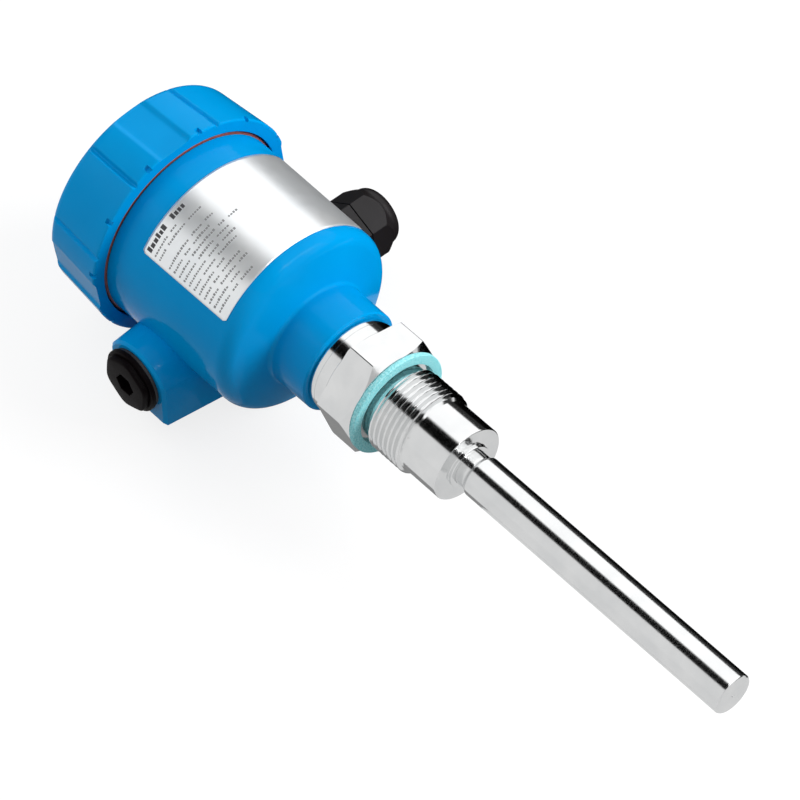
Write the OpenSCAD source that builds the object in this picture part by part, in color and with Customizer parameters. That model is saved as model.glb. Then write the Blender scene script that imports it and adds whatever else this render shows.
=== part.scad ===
// Vibrating rod level switch with a plastic terminal housing, for screwing into the side of a vessel.
// X runs along the probe towards the rod tip, Y towards the cable gland, Z up through the nameplate.
// The origin lies on the probe axis, in the face of the process seal that meets the vessel.

/* [Rod] */
// Outer diameter of the vibrating rod
rod_d = 16; // [14.5:0.5:20]
// Reach of the rod tip from the seal face
rod_reach = 164.5; // [150:0.5:240]
// Wall of the rod tube
rod_wall = 2; // [1:0.1:2.4]
// Thickness of the closed rod tip
tip_wall = 4; // [2:0.5:8]
// Radius of the edge round the rod tip
tip_round = 1.2; // [0.4:0.1:2.5]
// Diameter of the waist between weld boss and rod
waist_d = 14; // [12.6:0.2:14.4]
// Length of the waist
waist_length = 5.4; // [3:0.2:12]
// Diameter of the weld boss on the collar
weld_boss_d = 17.6; // [16:0.2:22]
// Height of the weld boss
weld_boss_h = 1.5; // [0.5:0.1:3]
// Diameter of the inner resonator
resonator_d = 6.4; // [4.5:0.1:7.5]
// Length of the inner resonator's slim stem
resonator_stem = 92; // [60:1:100]
// Diameter of the tuning mass on the resonator
tuning_mass_d = 8.4; // [6:0.1:9.2]
// Length of the tuning mass
tuning_mass_length = 12; // [6:0.5:16]
// Thickness of the resonator's foot
resonator_foot = 7; // [6:0.5:10]
// Steel left in the foot in front of the tension bolt's hole
foot_floor = 1; // [0.6:0.1:2]

/* [Process connection] */
// Major diameter of the process thread, G1
thread_d = 33.249; // [32:0.001:36]
// Length of the thread
thread_length = 17.3; // [12:0.1:24]
// Length of the relief behind the thread, from the seal face
relief_length = 2; // [1:0.1:4]
// Diameter of the relief
relief_d = 30; // [28:0.1:31]
// Diameter of the collar in front of the thread
collar_d = 30.1; // [28:0.1:31.5]
// Length of the collar
collar_length = 16.2; // [12:0.1:30]
// Chamfer at the thread's front end
thread_chamfer = 0.8; // [0.4:0.1:1]
// Width across the flats of the hexagon
hex_af = 41; // [40:0.5:50]
// Height of the hexagon
hex_h = 14.3; // [8:0.1:20]
// Turn of a hexagon corner about the probe axis
hex_turn = 107.9; // [90:0.1:150]
// Diameter of the flat washer face on the hexagon
washer_face_d = 40.2; // [38:0.1:40.8]
// Slope of the bevel round the washer face
hex_bevel = 37; // [25:1:45]
// Thickness of the process seal
seal_t = 2; // [1:0.1:4]
// Outer diameter of the process seal
seal_d = 41.6; // [38:0.1:50]
// Diameter of the smooth shank behind the hexagon
shank_d = 37.8; // [34:0.1:40]
// Length of the shank
shank_length = 8.8; // [5:0.1:20]
// Width of a scribed line round the shank
scribe_w = 0.5; // [0.2:0.1:0.8]
// Distance of the first scribed line from the hexagon
scribe_front = 1.2; // [0.8:0.1:3]
// Distance of the second scribed line from the shank's back
scribe_back = 3; // [1.5:0.1:5]
// Chamfer on the turned edges
turned_chamfer = 0.6; // [0.2:0.1:0.6]
// Diameter of the spigot that turns in the housing neck
spigot_d = 30; // [29:0.1:32]
// Spigot left behind the retaining ring
spigot_lip = 0.7; // [0.7:0.1:1.5]
// Cord diameter of the spigot's sealing ring
shank_seal_cord = 3; // [2:0.1:3.6]
// Thickness of the retaining ring
retaining_t = 1.2; // [0.8:0.1:1.8]
// Depth of the retaining ring's groove in the spigot
retaining_bite = 1.5; // [0.8:0.1:2]
// How far the retaining ring reaches past the neck's bore
retaining_reach = 2; // [1:0.1:3]
// Gap of the split in the retaining ring
retaining_split = 4; // [2:0.5:8]
// Diameter of the bore that holds the drive
drive_bore_d = 20; // [19.6:0.1:21]
// Steel in front of the drive membrane
front_wall = 4; // [2.5:0.1:6]

/* [Drive] */
// Thickness of the drive membrane
membrane_t = 1.5; // [0.6:0.1:2.5]
// Diameter of the ceramic discs and rings
disc_d = 16; // [12:0.1:17]
// Thickness of a piezo disc
piezo_t = 3; // [1.5:0.1:3.2]
// Number of piezo discs
piezo_count = 3; // [2:1:3]
// Thickness of an electrode plate
electrode_t = 0.4; // [0.2:0.1:0.6]
// Width of an electrode's solder tab
tab_w = 3; // [2:0.1:4]
// Thickness of an insulating ring
insulator_t = 2; // [1:0.1:2.4]
// Diameter of the tension bolt
bolt_d = 4; // [3:0.1:4.4]
// Width across the flats of the clamp nut
clamp_nut_af = 7; // [6:0.5:9]
// Height of the clamp nut
clamp_nut_h = 3.2; // [2:0.1:4]
// Length of bolt past the clamp nut
bolt_end = 1.5; // [0.5:0.1:2]
// Gap between the bolt's end and the potting
potting_gap = 1; // [0.5:0.1:2]
// Length of the potting that closes the drive bore
potting_length = 8; // [5:0.5:10]
// Diameter of the sensor lead
lead_d = 3.2; // [2:0.1:4]
// Length of the lead behind the circuit board
lead_tail = 4; // [2:0.5:10]

/* [Housing] */
// Outer diameter of the housing at the shoulder
body_d = 76.4; // [75:0.2:80]
// Outer diameter of the housing at the cover's mouth
body_mouth_d = 78; // [76.5:0.2:81]
// Diameter of the neck's rim
neck_rim_d = 42; // [40:0.1:43]
// Diameter of the neck at the shoulder
neck_root_d = 42.4; // [41:0.1:46]
// Length of the neck
neck_length = 17.5; // [14:0.1:20]
// Chamfer round the neck's rim
neck_chamfer = 0.6; // [0.2:0.1:1]
// Fillet between neck and shoulder
neck_fillet = 1.6; // [1:0.1:3]
// Radius of the rounded shoulder
shoulder_r = 6.5; // [5:0.1:9]
// Slope of the shoulder's cone, 90 is square to the axis
shoulder_slope = 72; // [66:1:78]
// Wall of the housing
body_wall = 4; // [3:0.1:4.6]
// Wall of the threaded rim under the cover
rim_wall = 3; // [2.5:0.1:3.2]
// Distance of the chamber's ledge from the end of the rounded shoulder
ledge_set = 0.55; // [0.4:0.05:2]
// Depth of the terminal chamber from its ledge to the rim
chamber_depth = 70.3; // [66:0.1:80]
// Diameter of the well under the electronics module
well_d = 48; // [40:0.5:50]
// Depth of the well
well_depth = 5.5; // [4.5:0.1:6]
// Thickness of the nameplate film
film_t = 0.25; // [0.1:0.05:0.6]
// Width of the nameplate along the housing
film_w = 43.9; // [30:0.1:46]
// Gap between the nameplate and the cover's mouth
film_gap = 12.9; // [8:0.1:16]
// Angle that the nameplate wraps round the housing
film_angle = 111.2; // [60:0.2:120]

/* [Cover] */
// Diameter of the cover at its mouth
cover_d = 90.6; // [88:0.2:96]
// Diameter of the cover at its top
cover_top_d = 86.2; // [84:0.2:88]
// Height of the cover
cover_h = 27.5; // [24:0.5:36]
// Thickness of the cover's top
cover_top_wall = 3.5; // [2:0.1:5]
// Radius of the cover's top edge
cover_round = 3; // [1:0.1:3.4]
// Radius of the cover's mouth edge
cover_lip = 1; // [0.4:0.1:1.5]
// How far the cover reaches over the housing rim
cover_overlap = 13.5; // [10:0.1:16]
// Depth of the smooth mouth in front of the cover thread
cover_mouth_depth = 5.5; // [4.5:0.1:7]
// Number of grip recesses round the cover
recess_count = 4; // [3:1:6]
// Turn of the first recess about the axis
recess_turn = 96.5; // [0:0.5:120]
// Width of a recess's floor
recess_w = 11.4; // [6:0.1:12]
// Depth of a recess
recess_depth = 1.5; // [0.8:0.1:1.8]
// Sideways run of a recess's walls for each unit of depth
recess_flare = 2; // [0.5:0.1:2.4]
// Angle from a recess's middle to the groove on either side of it
groove_offset = 25; // [22:0.5:28]
// Width of a groove's floor
groove_w = 0.5; // [0.3:0.1:1]
// Depth of a groove
groove_depth = 1.2; // [1.1:0.1:1.6]
// Sideways run of a groove's walls for each unit of depth
groove_flare = 0.8; // [0.3:0.1:1.2]
// Number of notches in the edge of the cover's mouth
notch_count = 12; // [4:1:12]
// Turn of the first notch about the axis
notch_turn = 22; // [0:0.5:60]
// Width of a notch
notch_w = 2; // [1:0.1:3]
// Length of a notch
notch_l = 2.4; // [1.5:0.1:4]
// Depth of a notch below the middle of the mouth's edge
notch_depth = 0.8; // [0.6:0.1:1.5]
// Cord diameter of the cover seal
cover_seal_cord = 2.6; // [2:0.1:2.8]
// Distance of the cover seal inside the cover's mouth
cover_seal_inset = 0.5; // [0.2:0.1:1.5]

/* [Cable entries] */
// Height of the entries' axis below the probe axis
entry_drop = 23; // [21:0.2:23.4]
// Distance of the entries' axis from the electronics module
entry_above_module = 13; // [12.5:0.2:18]
// Distance of a boss face from the probe axis
boss_reach = 48; // [46:0.5:60]
// Half width of a boss at its face
boss_half = 14.6; // [13.4:0.1:16]
// Distance from the entries' axis to a boss's underside
boss_bottom = 15; // [13.4:0.1:16]
// Radius of a boss's arched top
arch_r = 16; // [14.8:0.1:18]
// Distance of the arch's centre below the entries' axis
arch_drop = 1.8; // [0.4:0.1:2.6]
// Growth of a boss's sides towards the housing, per unit of length
boss_taper = 0.13; // [0:0.01:0.2]
// Chamfer round a boss face
boss_chamfer = 1.1; // [0.3:0.1:1.4]
// Diameter of the entry thread, M20
entry_d = 20; // [16:0.1:21]
// Length of the thread on gland and plug
entry_thread = 11; // [8:0.5:14]
// Thickness of a sealing ring under gland and plug
ring_t = 1.5; // [0.8:0.1:2.5]
// Diameter of a sealing ring
ring_d = 24; // [23.6:0.1:25.6]
// Width across the flats of the gland
gland_af = 24; // [24:0.5:27]
// Turn of a gland corner about its own axis
gland_turn = 95.4; // [60:0.1:120]
// Height of the gland body's hexagon
gland_hex_h = 4.5; // [3:0.1:8]
// Diameter of the thread under the gland nut
gland_thread_d = 18.6; // [17.6:0.1:19]
// Length of the thread under the gland nut
gland_thread_length = 8.5; // [6:0.1:9.5]
// Length of the gland nut
gland_nut_h = 14.7; // [13.6:0.1:20]
// Length of the gland nut's full hexagon
gland_nut_flat = 6.2; // [3:0.1:8]
// Radius of the gland nut's rounded end
dome_r = 4.4; // [3:0.1:4.8]
// How far the rounded end lies inside the flats
dome_inset = 0.4; // [0.2:0.1:0.6]
// How far the bevel of the flats starts outside the corners
bevel_over = 0.2; // [0.1:0.05:0.5]
// Diameter of the gland nut's mouth
gland_mouth_d = 12.4; // [9:0.1:13.6]
// Height of the insert's seat above the gland body's hexagon
insert_seat = 1; // [0.6:0.1:2]
// Diameter of the rubber insert
insert_d = 15; // [12:0.1:15.6]
// Diameter of the insert's cable bore
cable_d = 8.4; // [5:0.1:9]
// Length of the insert
insert_length = 9.5; // [7:0.1:9.7]
// Diameter of the blind plug's flange
plug_d = 25.2; // [24.8:0.1:27.5]
// Height of the plug's flange
plug_flange_h = 1.8; // [1:0.1:3]
// Width across the flats of the plug's head
plug_af = 21.2; // [16:0.1:21.4]
// Height of the plug's head
plug_head_h = 2.4; // [1.5:0.1:5]
// Turn of a corner of the plug's head about its own axis
plug_turn = 23; // [0:1:60]
// Width across the flats of the plug's socket
socket_af = 8; // [5:0.5:12]
// Depth of the plug's socket
socket_depth = 5; // [3:0.1:7]

/* [Electronics] */
// Height of the electronics module
module_h = 18.3; // [17:0.1:20]
// Wall of the module's case
module_wall = 1.8; // [1.2:0.1:2.4]
// Thickness of the circuit board
board_t = 1.6; // [1:0.1:2.4]
// Depth of the board inside the module's lower edge
board_inset = 2; // [1:0.1:3]
// Length of the output relay
relay_l = 20; // [14:0.5:21]
// Width of the output relay
relay_w = 10; // [8:0.5:12]
// Height of the output relay
relay_h = 11; // [8:0.5:12]
// Length of the transformer's core
core_l = 16; // [12:0.5:18]
// Width of the transformer's core
core_w = 14; // [11:0.5:15]
// Height of the transformer's core
core_h = 3; // [2:0.1:4]
// Length of the transformer's winding
winding_l = 12; // [8:0.5:14]
// Width of the transformer's winding
winding_w = 10; // [7:0.5:12]
// Height of the transformer's winding
winding_h = 8; // [6:0.5:9]
// Gap between relay and transformer
part_gap = 4; // [2:0.5:6]
// Distance from the module's edge to the middle of relay and transformer
part_inset = 22.6; // [21.5:0.1:24]
// Gap between a screw column and the module's edge
screw_inset = 0.65; // [0.4:0.05:2]
// Turn of a module screw below the level plane
screw_turn = 24; // [18:0.5:30]
// Width of the slot in a screw's head
slot_w = 1; // [0.6:0.1:1.4]
// Depth of the slot in a screw's head
slot_depth = 1.2; // [0.6:0.1:1.5]
// Diameter of a module screw
screw_d = 3.2; // [2:0.1:3.6]
// Diameter of a module screw's head
screw_head_d = 6; // [5:0.1:6.4]
// Height of a module screw's head
screw_head_h = 3; // [2:0.1:4]
// Depth of a module screw's hole in the housing
screw_bite = 5; // [3:0.1:6]
// Length of the terminal block
block_l = 40; // [36:0.5:42]
// Width of the terminal block
block_w = 13; // [11:0.1:14]
// Height of the terminal block
block_h = 13; // [11:0.1:16]
// Distance from the module's edge to the terminal block's middle
block_inset = 17.6; // [16.6:0.1:20]
// Number of terminals
terminal_count = 5; // [3:1:5]
// Diameter of a terminal screw
terminal_screw_d = 4.4; // [3:0.1:5]
// Depth of a terminal screw's well
terminal_screw_depth = 6; // [4:0.1:6.4]
// How far a terminal screw lies below the block's top
terminal_screw_sunk = 1; // [0.5:0.1:2]
// Diameter of a terminal's wire hole
wire_hole_d = 3.2; // [2:0.1:3.6]
// Depth of a terminal's wire hole
wire_hole_depth = 8; // [6:0.1:9]
// Height of a wire hole's axis above the module's face
wire_hole_rise = 3; // [2.2:0.1:4]
// Diameter of the switch point knob
knob_d = 10; // [8:0.1:12]
// Height of the switch point knob
knob_h = 7; // [5:0.1:9]
// Width of the slot in the knob
knob_slot_w = 1.6; // [1:0.1:2.4]
// Depth of the slot in the knob
knob_slot_depth = 2; // [1:0.1:3]
// Distance from the module's edge to the middle of knob and mode switch
control_inset = 15.6; // [14.6:0.1:17.6]
// Distance of knob and mode switch below the level plane
control_drop = 2; // [0:0.1:2.4]
// Length of the mode switch's frame
switch_l = 12; // [10:0.1:13]
// Width of the mode switch's frame
switch_w = 7; // [6:0.1:9]
// Height of the mode switch's frame
switch_h = 4; // [3:0.1:6]
// Floor of the mode switch's frame under its slot
switch_floor = 1; // [0.6:0.1:2]
// Side of the mode switch's slider
slider_w = 3; // [2:0.1:3.6]
// Height of the mode switch's slider
slider_h = 3.5; // [3:0.1:5]
// Travel of the mode switch
switch_travel = 3; // [2:0.1:3.4]
// Diameter of the signal lamp
lamp_d = 5; // [3:0.1:6]
// Height of the signal lamp's straight part
lamp_h = 3; // [1:0.1:5]
// Side of the ground terminal
ground_side = 9; // [7.5:0.1:10]
// Height of the ground terminal
ground_h = 8; // [7:0.1:10]
// Distance from the module's edge to the ground terminal's middle
ground_inset = 17.6; // [16:0.1:20]
// Diameter of the ground screw
ground_screw_d = 4.4; // [3:0.1:5]
// Depth of the ground screw's hole
ground_screw_depth = 5; // [3:0.1:6]
// Diameter of the ground screw's head
ground_head_d = 7; // [6:0.1:8]
// Height of the ground screw's head
ground_head_h = 2.4; // [1.8:0.1:3.2]

/* [Clearances] */
// Gap between parts that turn or slide against each other
run_gap = 0.3; // [0.2:0.05:0.4]
// Radial gap in a screwed or pushed joint
fit_gap = 0.05; // [0.02:0.01:0.1]
// Radial gap round the electronics module
module_gap = 0.6; // [0.3:0.05:1]
// Gap at the end of a screw or of a thread
end_gap = 1; // [0.5:0.1:1.5]

/* [Hidden] */
$fn = 96;
past = 1;
steel = [0.74, 0.76, 0.77];
blue = [0.0, 0.46, 0.78];
black = [0.13, 0.12, 0.12];
brass = [0.78, 0.62, 0.30];

// Stations along the probe, from the rod tip back to the spigot
thread_end = relief_length + thread_length;
collar_end = thread_end + collar_length;
weld_end = collar_end + weld_boss_h;
waist_end = weld_end + waist_length;
membrane_front = collar_end - front_wall;
membrane_back = membrane_front - membrane_t;
hex_front = -seal_t;
hex_back = hex_front - hex_h;
shank_back = hex_back - shank_length;
neck_rim = shank_back - run_gap;
neck_bore_r = spigot_d / 2 + run_gap;

// Drive stack, counted back from the membrane
disc_hole_r = bolt_d / 2 + run_gap;
stack_front = membrane_back - insulator_t;
cell_t = piezo_t + electrode_t;
stack_back = stack_front - piezo_count * cell_t - electrode_t;
nut_front = stack_back - insulator_t;
bolt_back = nut_front - clamp_nut_h - bolt_end;
bolt_grip = resonator_foot - foot_floor;
potting_front = bolt_back - potting_gap;

// Shoulder: the neck meets a cone, and the cone runs on into an arc of shoulder_r
neck_root = neck_rim - neck_length;
arc_r0 = body_d / 2 - shoulder_r;
cone_top_r = arc_r0 + shoulder_r * cos(shoulder_slope);
cone_top = neck_root - (cone_top_r - neck_root_d / 2) / tan(shoulder_slope);
arc_x0 = cone_top - shoulder_r * sin(shoulder_slope);
fillet_run = neck_fillet * tan(shoulder_slope / 2);

// Terminal chamber, from its ledge back to the rim and the cover's top
ledge = arc_x0 - ledge_set;
well_floor = ledge + well_depth;
rim_end = ledge - chamber_depth;
mouth = rim_end + cover_overlap;
cover_top = mouth - cover_h;
chamber_r = body_d / 2 - body_wall;
rim_r = chamber_r + rim_wall;
cover_thread_r = rim_r + run_gap + 2 * fit_gap;
cover_mouth_r = rim_r + cover_seal_cord + fit_gap + run_gap;
seal_x = mouth - cover_seal_inset - cover_seal_cord / 2;
ring_groove_front = well_floor - run_gap;
spigot_back = ring_groove_front - retaining_t - spigot_lip;
retaining_inner_d = spigot_d - 2 * retaining_bite;
shank_seal_x = (neck_rim + ring_groove_front) / 2;
shank_seal_r = spigot_d / 2 + run_gap / 2 - shank_seal_cord / 2;

// Electronics module and the controls on its face
module_r = chamber_r - module_gap;
module_face = ledge - module_h;
board_front = ledge - board_inset;
board_back = board_front - board_t;
column_r = screw_d / 2 + module_wall;
screw_ring_r = module_r - column_r - screw_inset;
screw_y = screw_ring_r * cos(screw_turn);
screw_z = -screw_ring_r * sin(screw_turn);
part_z = module_r - part_inset;
block_z = module_r - block_inset;
ground_z = ground_inset - module_r;
control_y = module_r - control_inset;
control_z = -control_drop;
terminal_pitch = block_l / terminal_count;

// Cable entries
entry_x = module_face - entry_above_module;
entry_z = -entry_drop;
entry_r = entry_d / 2 + fit_gap;
gland_seat = boss_reach + ring_t;
gland_thread_start = gland_seat + gland_hex_h;
nut_start = gland_thread_start + run_gap;
nut_bore_r = gland_thread_d / 2 + run_gap;
insert_start = gland_thread_start + insert_seat;
insert_end = insert_start + insert_length;

// Radius of the housing's outer wall at station x
function body_r(x) = body_d / 2 + (body_mouth_d - body_d) / 2 * (arc_x0 - x) / (arc_x0 - mouth);

// Solid of revolution about the probe axis, from a profile in radius and station
module turned(angle = 360) {
    rotate([0, 90, 0])
        rotate_extrude(angle = angle)
            children();
}

// Straight round bar along the probe from station a to station b
module bar(d, a, b) {
    translate([min(a, b), 0, 0])
        rotate([0, 90, 0])
            cylinder(d = d, h = abs(b - a));
}

// Round bar with a hole, from station a to station b
module ring(d, hole, a, b) {
    difference() {
        bar(d, a, b);
        bar(hole, min(a, b) - past, max(a, b) + past);
    }
}

// Hexagonal bar along the probe, with one corner at the given turn from +Y towards +Z
module hex_bar(af, turn, a, b) {
    translate([min(a, b), 0, 0])
        rotate([turn, 0, 0])
            rotate([0, 90, 0])
                rotate([0, 0, 90])
                    cylinder(d = af / cos(30), h = abs(b - a), $fn = 6);
}

// Frame of the gland side: children stand on the entry axis with Z outwards
module entry_frame(side) {
    translate([entry_x, 0, entry_z])
        rotate([-90 * side, 0, 0])
            children();
}

// Block that stands on the module's face, with its middle at y and z
module face_block(y, z, l, w, h) {
    translate([module_face - h, y - l / 2, z - w / 2])
        cube([h, l, w]);
}

// Round peg that stands on the module's face, lifted off it by gap
module face_peg(y, z, d, h, gap = 0) {
    translate([module_face - gap - h, y, z])
        rotate([0, 90, 0])
            cylinder(d = d, h = h);
}

// Turned and milled steel body: collar, process thread, hexagon, shank and spigot, bored for the drive
module process_connection() {
    chamfer_r = hex_af / 2 / cos(30);
    color(steel)
        difference() {
            union() {
                turned()
                    polygon([[0, hex_back + past], [relief_d / 2, hex_back + past], [relief_d / 2, relief_length],
                             [thread_d / 2, relief_length + (thread_d - relief_d) / 4],
                             [thread_d / 2, thread_end - thread_chamfer],
                             [thread_d / 2 - thread_chamfer, thread_end], [collar_d / 2, thread_end],
                             [collar_d / 2, collar_end - turned_chamfer],
                             [collar_d / 2 - turned_chamfer, collar_end],
                             [weld_boss_d / 2, collar_end], [weld_boss_d / 2, weld_end - turned_chamfer],
                             [weld_boss_d / 2 - turned_chamfer, weld_end], [0, weld_end]]);
                intersection() {
                    hex_bar(hex_af, hex_turn, hex_back, hex_front);
                    turned()
                        polygon([[0, hex_back], [chamfer_r, hex_back],
                                 [chamfer_r, hex_front - (chamfer_r - washer_face_d / 2) * tan(hex_bevel)],
                                 [washer_face_d / 2, hex_front], [0, hex_front]]);
                }
                turned()
                    polygon([[0, shank_back], [shank_d / 2 - turned_chamfer, shank_back],
                             [shank_d / 2, shank_back + turned_chamfer], [shank_d / 2, hex_back + past],
                             [0, hex_back + past]]);
                turned()
                    polygon([[0, spigot_back], [spigot_d / 2 - turned_chamfer, spigot_back],
                             [spigot_d / 2, spigot_back + turned_chamfer], [spigot_d / 2, shank_back + past],
                             [0, shank_back + past]]);
            }
            bar(drive_bore_d, spigot_back - past, membrane_front);
            bar(waist_d + 2 * fit_gap, membrane_front - past, weld_end + past);
            shank_seal_groove();
            ring_groove();
            for (x = [hex_back - scribe_front, shank_back + scribe_back])
                scribe(x);
        }
}

// Fine turned line round the shank at station x
module scribe(x) {
    difference() {
        bar(shank_d + past, x - scribe_w / 2, x + scribe_w / 2);
        bar(shank_d - 2 * scribe_w, x - scribe_w, x + scribe_w);
    }
}

// Groove in the spigot for its sealing ring
module shank_seal_groove() {
    half = shank_seal_cord / 2 + run_gap;
    difference() {
        bar(spigot_d + past, shank_seal_x - half, shank_seal_x + half);
        bar(2 * (shank_seal_r - shank_seal_cord / 2 - fit_gap), shank_seal_x - half - past,
            shank_seal_x + half + past);
    }
}

// Groove in the spigot for the ring that keeps the housing on
module ring_groove() {
    difference() {
        bar(spigot_d + past, ring_groove_front - retaining_t, ring_groove_front);
        bar(retaining_inner_d, ring_groove_front - retaining_t - past, ring_groove_front + past);
    }
}

// Closed steel tube that swings, with a waist where it is welded into the collar
module vibrating_rod() {
    r = rod_d / 2;
    bore_r = r - rod_wall;
    waist_r = waist_d / 2;
    neck_bore = waist_r - rod_wall;
    color(steel)
        turned()
            difference() {
                union() {
                    polygon([[0, membrane_front], [waist_r, membrane_front], [waist_r, waist_end - (r - waist_r)],
                             [r, waist_end], [r, rod_reach - tip_round], [0, rod_reach - tip_round]]);
                    square_to([r - tip_round, rod_reach - tip_round - past], [0, rod_reach]);
                    translate([r - tip_round, rod_reach - tip_round])
                        circle(r = tip_round);
                }
                square_to([0, membrane_front - past], [neck_bore, waist_end]);
                square_to([0, waist_end - past], [bore_r, rod_reach - tip_wall]);
            }
}

// Rectangle between two corners
module square_to(a, b) {
    translate([min(a[0], b[0]), min(a[1], b[1])])
        square([abs(a[0] - b[0]), abs(a[1] - b[1])]);
}

// Inner bar that swings against the tube: foot on the membrane, slim stem, tuning mass at the free end
module inner_resonator() {
    foot_r = waist_d / 2 - rod_wall - run_gap;
    stem_end = membrane_front + resonator_foot + resonator_stem;
    color(steel)
        difference() {
            union() {
                bar(2 * foot_r, membrane_front, membrane_front + resonator_foot);
                bar(resonator_d, membrane_front + resonator_foot - past, stem_end + past);
                bar(tuning_mass_d, stem_end, stem_end + tuning_mass_length);
            }
            bar(bolt_d + 2 * fit_gap, membrane_front - past, membrane_front + bolt_grip);
        }
}

// Thin steel disc that bends between the drive and the rod
module drive_membrane() {
    color(steel)
        ring(drive_bore_d - 2 * fit_gap, bolt_d + 2 * fit_gap, membrane_back, membrane_front);
}

// Front station of electrode number i, counted from the membrane
function electrode_front(i) = stack_front - i * cell_t;

// Ceramic discs of the drive
module piezo_discs() {
    color([0.86, 0.82, 0.72])
        for (i = [0 : piezo_count - 1])
            ring(disc_d, 2 * disc_hole_r, electrode_front(i) - electrode_t, electrode_front(i) - cell_t);
}

// Contact plates between the discs, each with a solder tab
module electrode_plates() {
    tab_end = drive_bore_d / 2 - run_gap;
    color(brass)
        for (i = [0 : piezo_count])
            difference() {
                union() {
                    bar(disc_d, electrode_front(i) - electrode_t, electrode_front(i));
                    rotate([i * 180, 0, 0])
                        translate([electrode_front(i) - electrode_t, 0, -tab_w / 2])
                            cube([electrode_t, sqrt(tab_end * tab_end - tab_w * tab_w / 4), tab_w]);
                }
                bar(2 * disc_hole_r, electrode_front(i) - electrode_t - past, electrode_front(i) + past);
            }
}

// Rings that keep the stack's voltage off the steel
module insulating_rings() {
    color([0.93, 0.93, 0.90]) {
        ring(disc_d, 2 * disc_hole_r, stack_front, membrane_back);
        ring(disc_d, 2 * disc_hole_r, nut_front, stack_back);
    }
}

// Bolt that clamps the stack to the membrane and the resonator
module tension_bolt() {
    color(steel)
        bar(bolt_d, bolt_back, membrane_front + bolt_grip - run_gap);
}

// Nut on the tension bolt
module clamp_nut() {
    color(steel)
        difference() {
            hex_bar(clamp_nut_af, 0, nut_front - clamp_nut_h, nut_front);
            bar(bolt_d + 2 * fit_gap, nut_front - clamp_nut_h - past, nut_front + past);
        }
}

// Resin that closes the drive bore round the lead
module potting_plug() {
    color([0.16, 0.15, 0.14])
        ring(drive_bore_d - 2 * fit_gap, lead_d + 2 * fit_gap, potting_front - potting_length, potting_front);
}

// Lead from the drive to the electronics module
module sensor_lead() {
    color([0.55, 0.10, 0.08])
        bar(lead_d, board_back - lead_tail, potting_front);
}

// Flat fibre ring between hexagon and vessel
module process_seal() {
    color([0.55, 0.80, 0.80])
        ring(seal_d, thread_d + 2 * run_gap, hex_front, 0);
}

// Rubber ring between spigot and housing neck
module shank_seal() {
    color(black)
        turned()
            translate([shank_seal_r, shank_seal_x])
                circle(d = shank_seal_cord);
}

// Split spring ring that keeps the housing on the spigot
module retaining_ring() {
    outer_r = neck_bore_r + retaining_reach;
    color(steel)
        difference() {
            ring(2 * outer_r, retaining_inner_d + 2 * fit_gap, ring_groove_front - retaining_t,
                 ring_groove_front);
            translate([ring_groove_front - retaining_t - past, -retaining_split / 2, 0])
                cube([retaining_t + 2 * past, retaining_split, outer_r + past]);
        }
}

// Outer profile of the housing, in radius and station
module body_profile() {
    neck_r = neck_root_d / 2;
    cone_touch_r = neck_r + fillet_run * sin(shoulder_slope);
    cone_touch = neck_root - fillet_run * cos(shoulder_slope);
    polygon([[0, neck_rim], [neck_rim_d / 2 - neck_chamfer, neck_rim], [neck_rim_d / 2, neck_rim - neck_chamfer],
             [neck_r, neck_root], [cone_top_r, cone_top], [arc_r0, arc_x0], [0, arc_x0]]);
    translate([arc_r0, arc_x0])
        circle(r = shoulder_r);
    polygon([[0, cone_top], [cone_top_r, cone_top], [arc_r0, arc_x0], [body_d / 2, arc_x0],
             [body_r(mouth), mouth], [0, mouth]]);
    difference() {
        polygon([[neck_r - past, neck_root - past], [neck_r - past, neck_root + fillet_run],
                 [neck_r + neck_fillet, neck_root + fillet_run], [cone_touch_r, cone_touch],
                 [cone_touch_r - past * cos(shoulder_slope), cone_touch - past * sin(shoulder_slope)]]);
        translate([neck_r + neck_fillet, neck_root + fillet_run])
            circle(r = neck_fillet);
    }
    square_to([0, mouth + past], [rim_r, rim_end]);
}

// Half space under a leaning side of a boss: it stands at offset in the face and grows by lean behind it
module boss_side(offset, lean) {
    size = 4 * boss_reach;
    translate([offset, boss_reach, 0])
        rotate([0, 0, atan(lean)])
            translate([-size, -size, -size / 2])
                cube([size, 2 * size, size]);
}

// Cable entry boss on the gland side: arched top, leaning sides and chamfered face
module cable_boss() {
    arch_taper = boss_taper / 2;
    translate([entry_x, 0, entry_z])
        intersection() {
            union() {
                translate([0, 0, -arch_drop])
                    rotate([-90, 0, 0])
                        rotate_extrude()
                            polygon([[0, 0], [arch_r + arch_taper * boss_reach, 0],
                                     [arch_r, boss_reach - boss_chamfer],
                                     [arch_r - boss_chamfer, boss_reach], [0, boss_reach]]);
                translate([-2 * boss_half, 0, -2 * boss_bottom])
                    cube([4 * boss_half, boss_reach, 2 * boss_bottom - arch_drop]);
            }
            intersection_for (plane = [[0, boss_half, boss_taper], [0, boss_half - boss_chamfer, 1],
                                       [1, boss_half, boss_taper], [1, boss_half - boss_chamfer, 1]])
                mirror([plane[0], 0, 0])
                    boss_side(plane[1], plane[2]);
            rotate([0, 90, 0])
                intersection_for (plane = [[boss_bottom, 0], [boss_bottom - boss_chamfer, 1]])
                    boss_side(plane[0], plane[1]);
        }
}

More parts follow.
